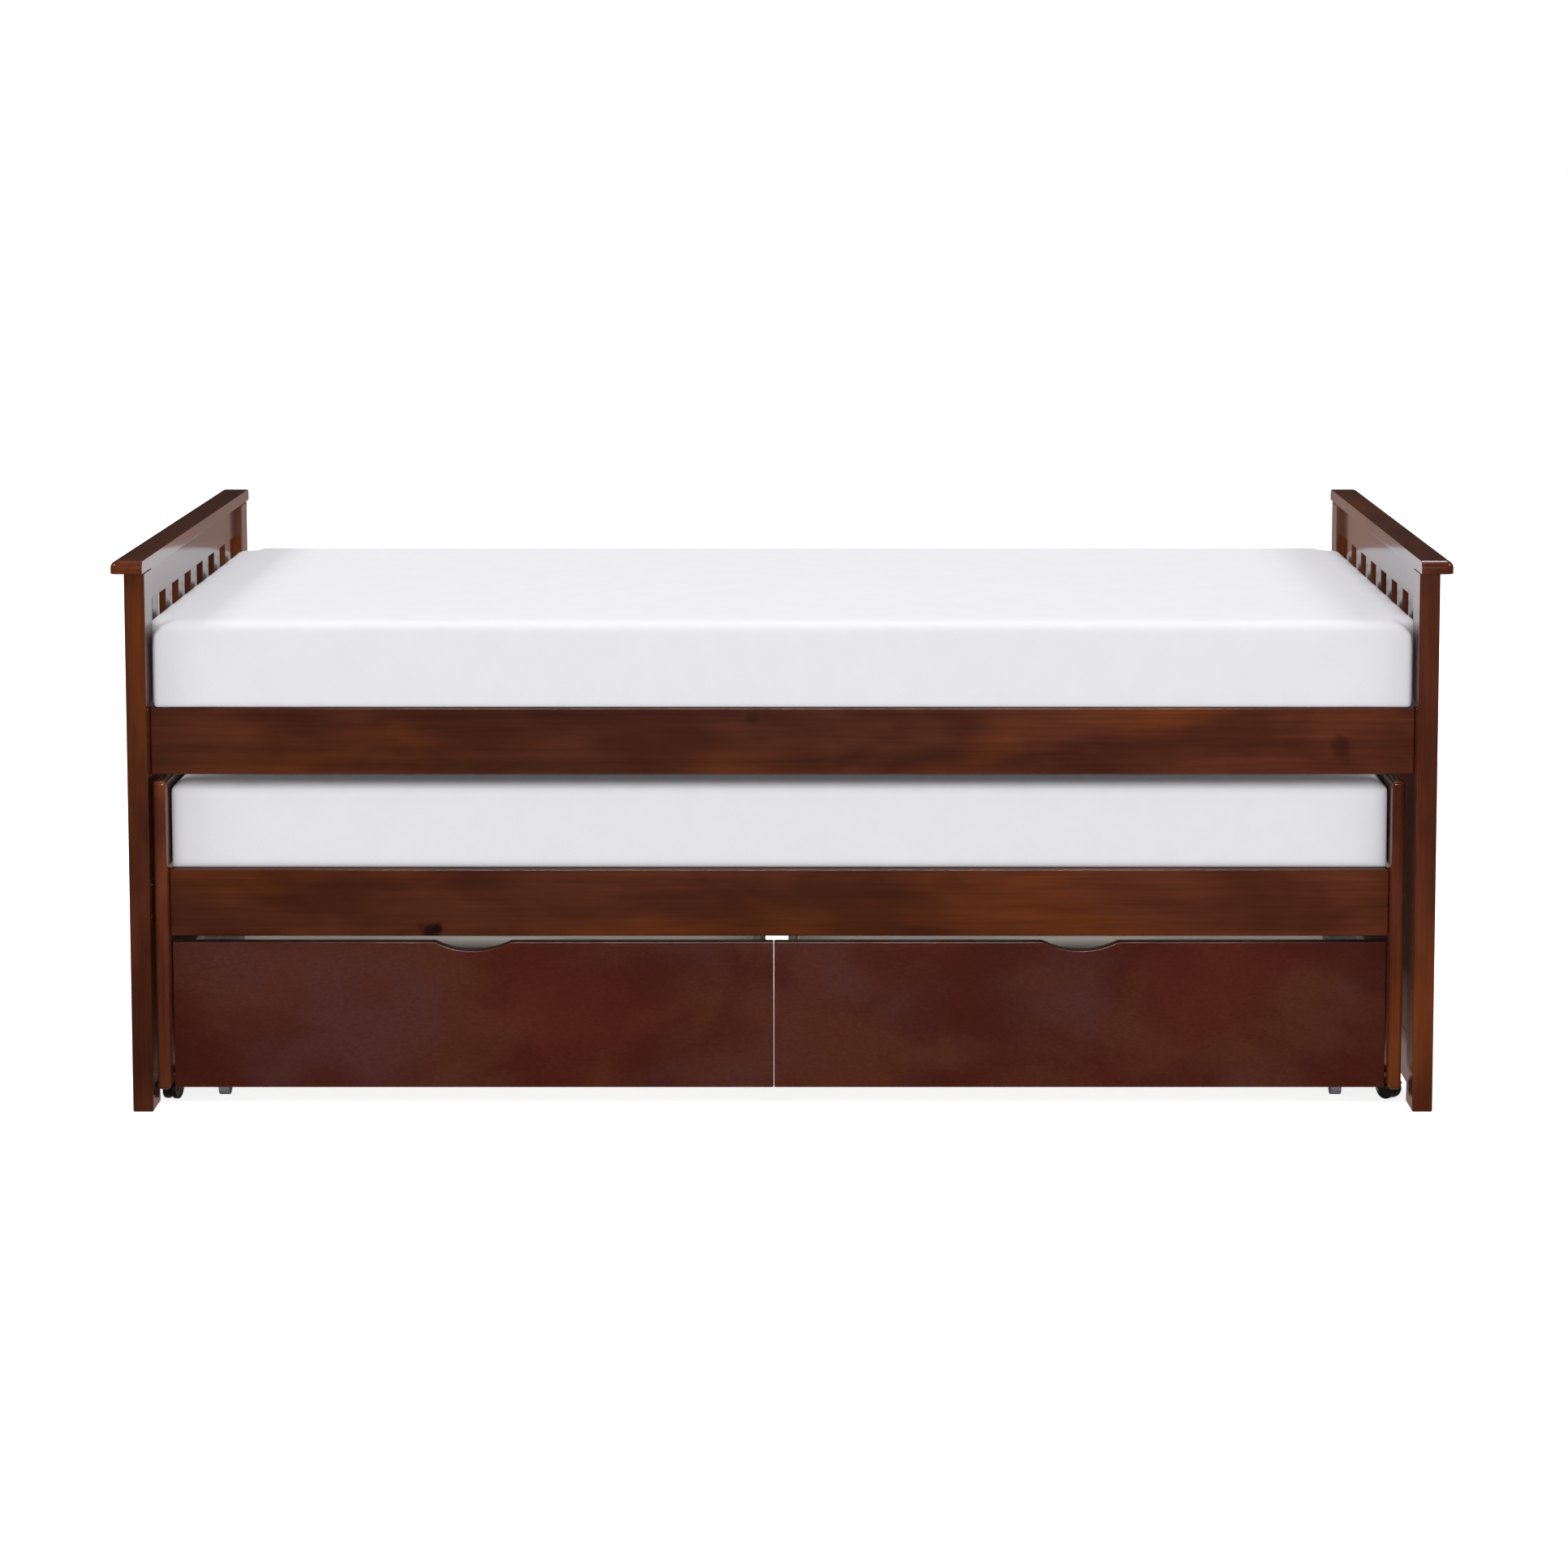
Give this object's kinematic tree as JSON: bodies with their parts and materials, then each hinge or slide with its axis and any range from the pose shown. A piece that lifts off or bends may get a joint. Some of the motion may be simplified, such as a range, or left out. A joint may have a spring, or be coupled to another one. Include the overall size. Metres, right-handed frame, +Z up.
{
  "type": "trundle bed",
  "caption": "Low twin bed on slatted end frames with a roll-out lower bed on swivel casters and roll-out storage drawers under it.",
  "frame": {"origin": "centre of the bounding box in plan, on the floor", "axes": "+X along the bed's length, -Y towards the front where the lower bed and drawers roll out, +Z up"},
  "size_m": [2.013, 1.06, 0.847],
  "materials": {
    "cherry_lacquer": "satin",
    "drawer_cherry": "satin",
    "bare_pine": "matte",
    "drawer_plywood": "satin",
    "mattress_cover": "matte",
    "zinc_steel": "satin",
    "black_nylon": "satin",
    "grey_rubber": "matte"
  },
  "bodies": {
    "upper_bed": {"left_front_post": "cherry_lacquer", "left_back_post": "cherry_lacquer", "right_front_post": "cherry_lacquer", "right_back_post": "cherry_lacquer", "left_cap": "cherry_lacquer", "right_cap": "cherry_lacquer", "left_slat_panel": "cherry_lacquer", "right_slat_panel": "cherry_lacquer", "upper_front_rail": "cherry_lacquer", "upper_back_rail": "cherry_lacquer", "upper_front_cleat": "bare_pine", "upper_back_cleat": "bare_pine", "upper_slat_roll": "bare_pine", "upper_mattress": "mattress_cover"},
    "lower_bed": {"lower_left_end": "cherry_lacquer", "lower_right_end": "cherry_lacquer", "lower_front_rail": "cherry_lacquer", "lower_back_rail": "cherry_lacquer", "lower_front_cleat": "bare_pine", "lower_back_cleat": "bare_pine", "lower_slat_roll": "bare_pine", "lower_mattress": "mattress_cover", "caster_plate_front_left": "zinc_steel", "caster_plate_front_right": "zinc_steel", "caster_plate_back_left": "zinc_steel", "caster_plate_back_right": "zinc_steel"},
    "drawer_left": {"drawer_left_front": "drawer_cherry", "drawer_left_left_side": "drawer_plywood", "drawer_left_right_side": "drawer_plywood", "drawer_left_back": "drawer_plywood", "drawer_left_bottom": "drawer_plywood", "drawer_bracket_left_front_left": "zinc_steel", "drawer_bracket_left_front_right": "zinc_steel", "drawer_bracket_left_back_left": "zinc_steel", "drawer_bracket_left_back_right": "zinc_steel"},
    "drawer_right": {"drawer_right_front": "drawer_cherry", "drawer_right_left_side": "drawer_plywood", "drawer_right_right_side": "drawer_plywood", "drawer_right_back": "drawer_plywood", "drawer_right_bottom": "drawer_plywood", "drawer_bracket_right_front_left": "zinc_steel", "drawer_bracket_right_front_right": "zinc_steel", "drawer_bracket_right_back_left": "zinc_steel", "drawer_bracket_right_back_right": "zinc_steel"},
    "caster_front_left": {"caster_head_front_left": "black_nylon"},
    "caster_wheel_front_left": {"caster_wheel_front_left": "black_nylon"},
    "caster_front_right": {"caster_head_front_right": "black_nylon"},
    "caster_wheel_front_right": {"caster_wheel_front_right": "black_nylon"},
    "caster_back_left": {"caster_head_back_left": "black_nylon"},
    "caster_wheel_back_left": {"caster_wheel_back_left": "black_nylon"},
    "caster_back_right": {"caster_head_back_right": "black_nylon"},
    "caster_wheel_back_right": {"caster_wheel_back_right": "black_nylon"},
    "drawer_wheel_left_front_left": {"drawer_wheel_left_front_left": "grey_rubber"},
    "drawer_wheel_left_front_right": {"drawer_wheel_left_front_right": "grey_rubber"},
    "drawer_wheel_left_back_left": {"drawer_wheel_left_back_left": "grey_rubber"},
    "drawer_wheel_left_back_right": {"drawer_wheel_left_back_right": "grey_rubber"},
    "drawer_wheel_right_front_left": {"drawer_wheel_right_front_left": "grey_rubber"},
    "drawer_wheel_right_front_right": {"drawer_wheel_right_front_right": "grey_rubber"},
    "drawer_wheel_right_back_left": {"drawer_wheel_right_back_left": "grey_rubber"},
    "drawer_wheel_right_back_right": {"drawer_wheel_right_back_right": "grey_rubber"}
  },
  "joints": [
    {"name": "lower_bed_slide", "type": "slide", "parent": "upper_bed", "child": "lower_bed", "axis": [0, -1, 0], "range_m": [0, 0.95]},
    {"name": "drawer_left_slide", "type": "slide", "parent": "lower_bed", "child": "drawer_left", "axis": [0, -1, 0], "range_m": [0, 0.42]},
    {"name": "drawer_right_slide", "type": "slide", "parent": "lower_bed", "child": "drawer_right", "axis": [0, -1, 0], "range_m": [0, 0.42]},
    {"name": "swivel_front_left", "type": "hinge", "parent": "lower_bed", "child": "caster_front_left", "pos_m": [-0.9395, -0.42, 0.0436], "axis": [0, 0, 1], "continuous": true},
    {"name": "wheel_front_left", "type": "hinge", "parent": "caster_front_left", "child": "caster_wheel_front_left", "pos_m": [-0.94144, -0.42776, 0.0173], "axis": [0.9703, -0.2419, 0], "continuous": true},
    {"name": "swivel_front_right", "type": "hinge", "parent": "lower_bed", "child": "caster_front_right", "pos_m": [0.9289, -0.42, 0.0436], "axis": [0, 0, 1], "continuous": true},
    {"name": "wheel_front_right", "type": "hinge", "parent": "caster_front_right", "child": "caster_wheel_front_right", "pos_m": [0.93404, -0.42613, 0.0173], "axis": [0.766, 0.6428, 0], "continuous": true},
    {"name": "swivel_back_left", "type": "hinge", "parent": "lower_bed", "child": "caster_back_left", "pos_m": [-0.9395, 0.42, 0.0436], "axis": [0, 0, 1], "continuous": true},
    {"name": "wheel_back_left", "type": "hinge", "parent": "caster_back_left", "child": "caster_wheel_back_left", "pos_m": [-0.93784, 0.41218, 0.0173], "axis": [0.9781, 0.2079, 0], "continuous": true},
    {"name": "swivel_back_right", "type": "hinge", "parent": "lower_bed", "child": "caster_back_right", "pos_m": [0.9289, 0.42, 0.0436], "axis": [0, 0, 1], "continuous": true},
    {"name": "wheel_back_right", "type": "hinge", "parent": "caster_back_right", "child": "caster_wheel_back_right", "pos_m": [0.93215, 0.41269, 0.0173], "axis": [0.9135, 0.4067, 0], "continuous": true},
    {"name": "wheel_drawer_left_front_left", "type": "hinge", "parent": "drawer_left", "child": "drawer_wheel_left_front_left", "pos_m": [-0.8646, -0.403, 0.0198], "axis": [1, 0, 0], "continuous": true},
    {"name": "wheel_drawer_left_front_right", "type": "hinge", "parent": "drawer_left", "child": "drawer_wheel_left_front_right", "pos_m": [-0.0825, -0.335, 0.0198], "axis": [1, 0, 0], "continuous": true},
    {"name": "wheel_drawer_left_back_left", "type": "hinge", "parent": "drawer_left", "child": "drawer_wheel_left_back_left", "pos_m": [-0.8646, -0.03, 0.0198], "axis": [1, 0, 0], "continuous": true},
    {"name": "wheel_drawer_left_back_right", "type": "hinge", "parent": "drawer_left", "child": "drawer_wheel_left_back_right", "pos_m": [-0.0825, -0.03, 0.0198], "axis": [1, 0, 0], "continuous": true},
    {"name": "wheel_drawer_right_front_left", "type": "hinge", "parent": "drawer_right", "child": "drawer_wheel_right_front_left", "pos_m": [0.0545, -0.335, 0.0198], "axis": [1, 0, 0], "continuous": true},
    {"name": "wheel_drawer_right_front_right", "type": "hinge", "parent": "drawer_right", "child": "drawer_wheel_right_front_right", "pos_m": [0.854, -0.403, 0.0198], "axis": [1, 0, 0], "continuous": true},
    {"name": "wheel_drawer_right_back_left", "type": "hinge", "parent": "drawer_right", "child": "drawer_wheel_right_back_left", "pos_m": [0.0545, -0.03, 0.0198], "axis": [1, 0, 0], "continuous": true},
    {"name": "wheel_drawer_right_back_right", "type": "hinge", "parent": "drawer_right", "child": "drawer_wheel_right_back_right", "pos_m": [0.854, -0.03, 0.0198], "axis": [1, 0, 0], "continuous": true}
  ]
}
